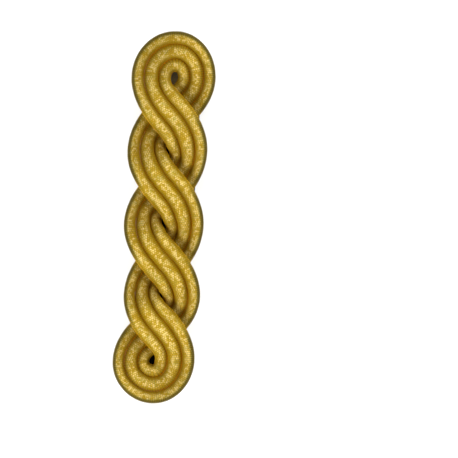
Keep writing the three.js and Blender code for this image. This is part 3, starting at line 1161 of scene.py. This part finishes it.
# The keeper's outline across the strap: up one edge, along underneath and up the other.
def keeperLine():
    shape = keeperShape
    half = (keeperBox[1].x - keeperBox[0].x) / 2
    top = keeperBox[1].z
    radius = shape["cornerRadius"]
    turn = np.linspace(0, math.pi / 2, shape["cornerSteps"] + 1)[:, None]
    corner = np.concatenate([-half + radius - radius * np.cos(turn), radius - radius * np.sin(turn)], axis=1)
    left = np.concatenate([[(-half, top)], corner])
    right = left[::-1] * (-1, 1)
    return np.concatenate([left, right])


def keeperSheet():
    shape = keeperShape
    points = keeperLine()
    walked = walkedLengths(points)
    width = walked[-1]
    length = keeperBox[1].y - keeperBox[0].y

    def placeOf(share, along):
        place = (share + 1) / 2 * width
        x, z = (np.interp(place, walked, points[:, axis]) for axis in range(2))
        dentX, dentY = shape["dentScale"]
        dent = max(0, noise.noise(Vector((place * dentX, along * dentY, shape["dentSeed"])))) * shape["dent"]
        wander = noise.noise(Vector((place * shape["wanderScale"], 0, shape["wanderSeed"])))
        y = keeperBox[0].y + along * length + wander * shape["wander"]
        return leatherShape["middle"] + x, y, z + dent * (abs(x) < shape["dentHalf"])

    bm = shapedSheet(width, length, shape["cell"], placeOf)
    return thickened(bm, Vector((0, 0, -1)), shape["thickness"], shape["rimRound"])


strapHalf = leatherShape["strapWidth"] / 2
strapMaterial = strapLeather(leatherLook, strapMarks, leatherShape["middle"], strapHalf)
pieceFrom(strapSheet(), "buttoningStrap", strapMaterial, "black_leather", "leather_strap")

keeperMiddle = (keeperBox[0].y + keeperBox[1].y) / 2
keeperHalf = (keeperBox[1].y - keeperBox[0].y) / 2
keeperMaterial = keeperLeather(leatherLook, keeperMarks, keeperMiddle, keeperHalf)
pieceFrom(keeperSheet(), "strapKeeper", keeperMaterial, "worn_leather", "strap_keeper")


# The eyelet: one profile of a rolled flange, a barrel and a washer, spun round.
def eyeletRing():
    shape = eyeletShape
    bore = shape["bore"] / 2
    barrel = bore + shape["barrelWall"]
    flange = shape["flange"] / 2
    bottom, top = eyeletBox[0].z, eyeletBox[1].z
    domeMiddle = (bore + flange) / 2
    domeHalf = (flange - bore) / 2
    washer = barrel + shape["washerWidth"]
    washerHalf = shape["washerHeight"] / 2
    flangeTop = bottom + shape["flangeHeight"]
    profile = []
    for step in range(shape["rollSteps"] + 1):
        turn = math.pi * step / shape["rollSteps"]
        height = bottom + shape["flangeHeight"] * (1 - math.sin(turn))
        profile.append((domeMiddle - domeHalf * math.cos(turn), height))
    profile.append((flange - shape["underRoll"], flangeTop))
    profile.append((barrel, flangeTop))
    profile.append((barrel, top - 2 * washerHalf))
    for step in range(shape["lipSteps"] + 1):
        turn = math.pi * step / shape["lipSteps"] - math.pi / 2
        reach = washer - washerHalf + washerHalf * math.cos(turn)
        profile.append((reach, top - washerHalf + washerHalf * math.sin(turn)))
    profile.append((bore + washerHalf, top))
    profile.append((bore, top - washerHalf))

    bm = bmesh.new()
    verts = []
    for radius, height in profile:
        place = eyeletCentre + Vector((radius, 0, height - eyeletCentre.z))
        verts.append(bm.verts.new(place * millimetre))
    edges = [bm.edges.new((verts[index - 1], vert)) for index, vert in enumerate(verts)]
    centre = Vector((eyeletCentre.x, eyeletCentre.y, 0)) * millimetre
    bmesh.ops.spin(
        bm, geom=verts + edges, cent=centre, axis=(0, 0, 1), angle=2 * math.pi,
        steps=shape["steps"], use_merge=True,
    )
    bmesh.ops.remove_doubles(bm, verts=bm.verts, dist=1e-6)
    bmesh.ops.recalc_face_normals(bm, faces=bm.faces)
    return bm


pieceFrom(eyeletRing(), "brassEyelet", eyeletBrass(eyeletLook), "brass", "strap_eyelet")


# A pale floor and soft light

studio = {
    "floorSize": 3.0,
    "floorGap": 0.05,
    "floorColour": (0.94, 0.94, 0.93, 1),
    "floorShade": (0.91, 0.91, 0.90, 1),
    "floorCloudScale": 0.004,
    "floorRoughness": 0.8,
    "skyColour": (1.0, 1.0, 1.0, 1),
    "skyStrength": 0.26,
    "objectLights": {
        "keyLight": {"place": (-0.65, -1.15, 1.2), "size": 0.7, "power": 27.0},
        "fillLight": {"place": (0.9, 0.9, 1.3), "size": 1.0, "power": 19.0},
    },
    "floorLight": {"reach": 0.85, "height": 1.7, "size": 1.0, "power": 26.0},
}


def makeFloor(look):
    bm = bmesh.new()
    bmesh.ops.create_grid(bm, x_segments=2, y_segments=2, size=look["floorSize"] / 2)
    mesh = bpy.data.meshes.new("paleFloor")
    bm.to_mesh(mesh)
    bm.free()
    mesh.transform(Matrix.Translation((0, 0, -look["floorGap"] * millimetre)))
    material, tree, shader = newMaterial("paleFloor")
    cloud = noisy(tree, objectPlace(tree), look["floorCloudScale"], detail=3.0)
    colour = ramp(tree, cloud, [(0.3, look["floorShade"]), (0.7, look["floorColour"])])
    feedShader(tree, shader, {"Base Color": colour, "Roughness": look["floorRoughness"]})
    mesh.materials.append(material)
    floor = placed("paleFloor", mesh)
    return floor


def makeSky(look):
    world = bpy.data.worlds.new("softSky")
    world.use_nodes = True
    sky = world.node_tree.nodes["Background"]
    sky.inputs["Color"].default_value = look["skyColour"]
    sky.inputs["Strength"].default_value = look["skyStrength"]
    bpy.context.scene.world = world


def hangLight(name, place, light, lit):
    data = bpy.data.lights.new(name, "AREA")
    data.size = light["size"]
    data.energy = light["power"]
    lamp = placed(name, data)
    lamp.location = place
    lamp.rotation_euler = Vector(place).to_track_quat("Z", "Y").to_euler()
    lamp.light_linking.receiver_collection = lit


# Each light falls on the object alone or on the floor alone, so that neither outshines the other.
def makeStudio(look):
    floor = makeFloor(look)
    makeSky(look)
    litObject = bpy.data.collections.new("litObject")
    litFloor = bpy.data.collections.new("litFloor")
    litFloor.objects.link(floor)
    for piece in bpy.context.scene.objects:
        if piece.type == "MESH" and piece != floor:
            litObject.objects.link(piece)
    for name, light in look["objectLights"].items():
        hangLight(name, light["place"], light, litObject)
    light = look["floorLight"]
    for corner, sideX, sideY in (("A", 1, 1), ("B", -1, 1), ("C", -1, -1), ("D", 1, -1)):
        place = (sideX * light["reach"], sideY * light["reach"], light["height"])
        hangLight("floorLight" + corner, place, light, litFloor)
    bpy.context.scene.view_settings.view_transform = "Standard"


makeStudio(studio)
print("floor and lights placed")
